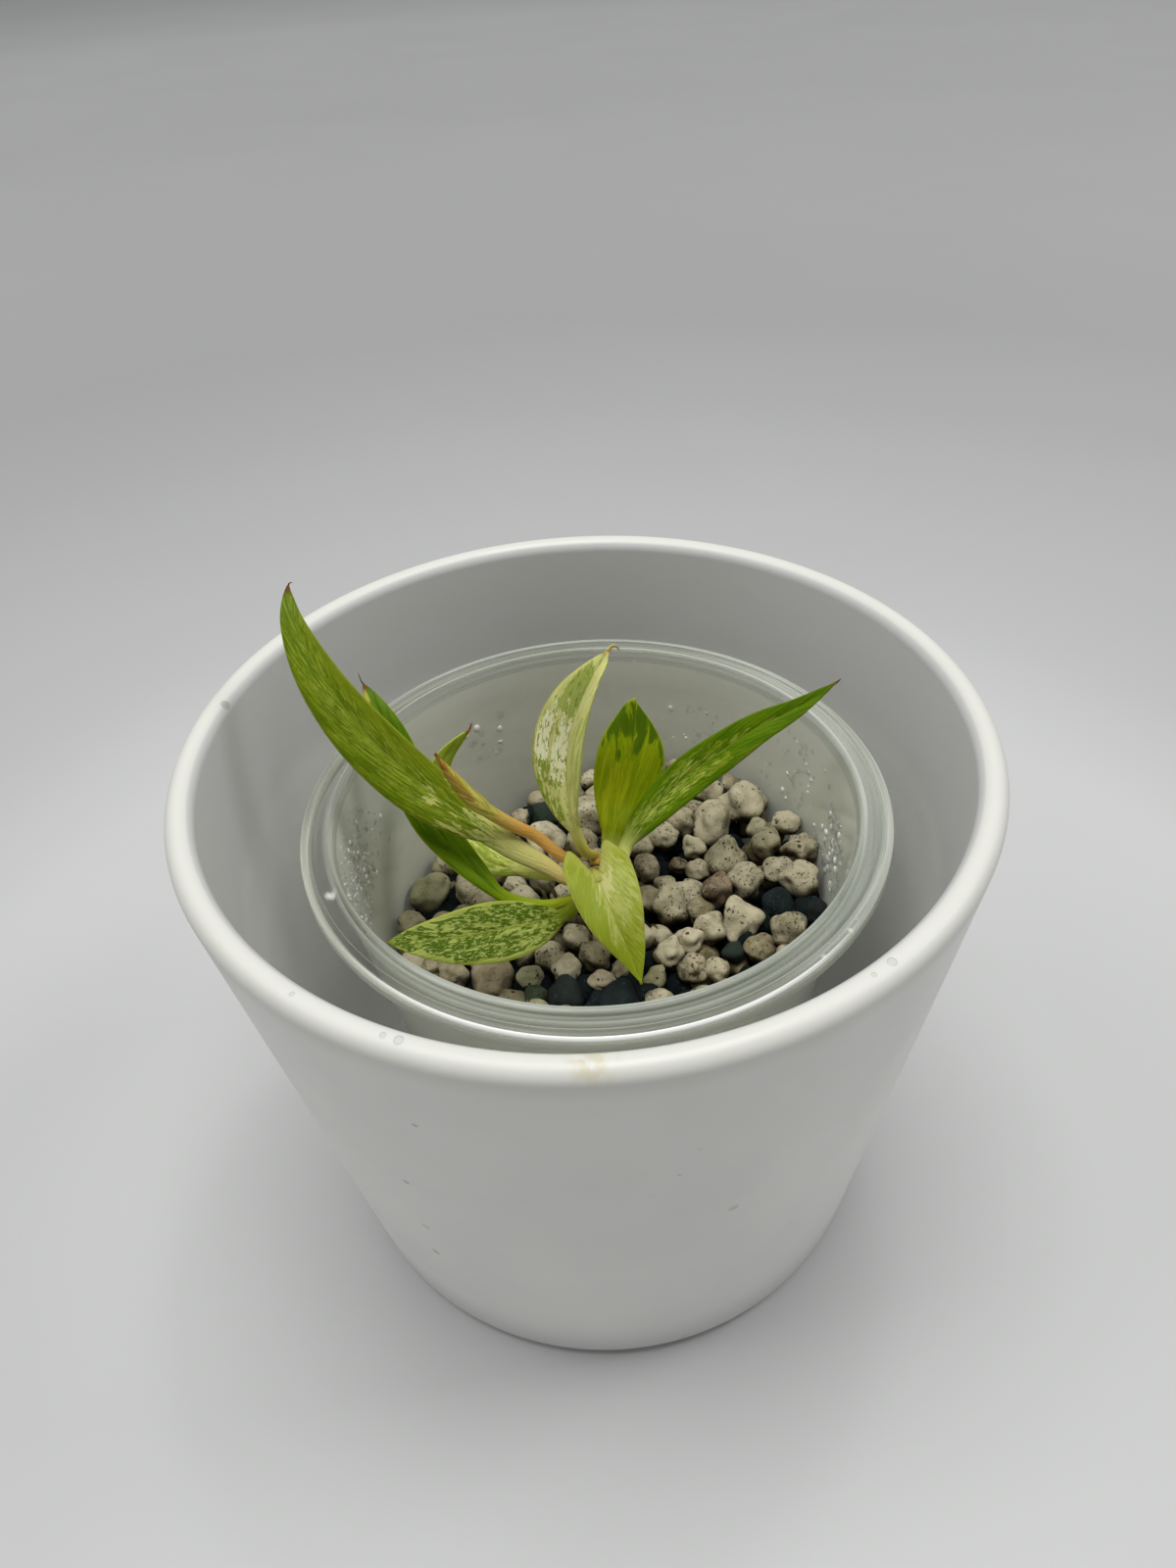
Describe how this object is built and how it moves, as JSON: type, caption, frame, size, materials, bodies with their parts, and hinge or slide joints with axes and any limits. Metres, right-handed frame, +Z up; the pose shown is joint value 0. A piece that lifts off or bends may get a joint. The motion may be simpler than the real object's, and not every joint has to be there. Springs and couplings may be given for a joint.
{
  "type": "potted strawberry caramel philodendron",
  "caption": "Young variegated philodendron with lance-shaped leaves in a clear grow cup of mineral grains, set loosely in a plain white tapered cover pot.",
  "frame": {"origin": "middle of the cover pot's underside, on the surface that it stands on", "axes": "+Z up out of the pot; -Y towards the side that the heart-shaped leaf and the mottled leaf lean to, +X to its right"},
  "size_m": [0.1, 0.1, 0.0933],
  "materials": {
    "white_pot": "satin",
    "clear_plastic": "slightly cloudy",
    "pale_mineral": "rough",
    "dark_mineral": "rough",
    "leaf_green": "satin",
    "leaf_dark": "satin",
    "leaf_cream": "satin",
    "leaf_bronze": "satin"
  },
  "bodies": {
    "root": {"outer_pot": "white_pot", "clear_cup": "clear_plastic", "pale_grains": "pale_mineral", "dark_grains_right": "dark_mineral", "dark_grains_front": "dark_mineral", "dark_grains_back": "dark_mineral", "crown": "leaf_bronze", "leaf_long_left": "leaf_green", "leaf_furled": "leaf_bronze", "leaf_dark_left": "leaf_dark", "leaf_mottled": "leaf_green", "leaf_back_left": "leaf_cream", "leaf_cream": "leaf_cream", "leaf_broad_back": "leaf_dark", "leaf_right": "leaf_green", "leaf_heart": "leaf_green"}
  },
  "joints": []
}
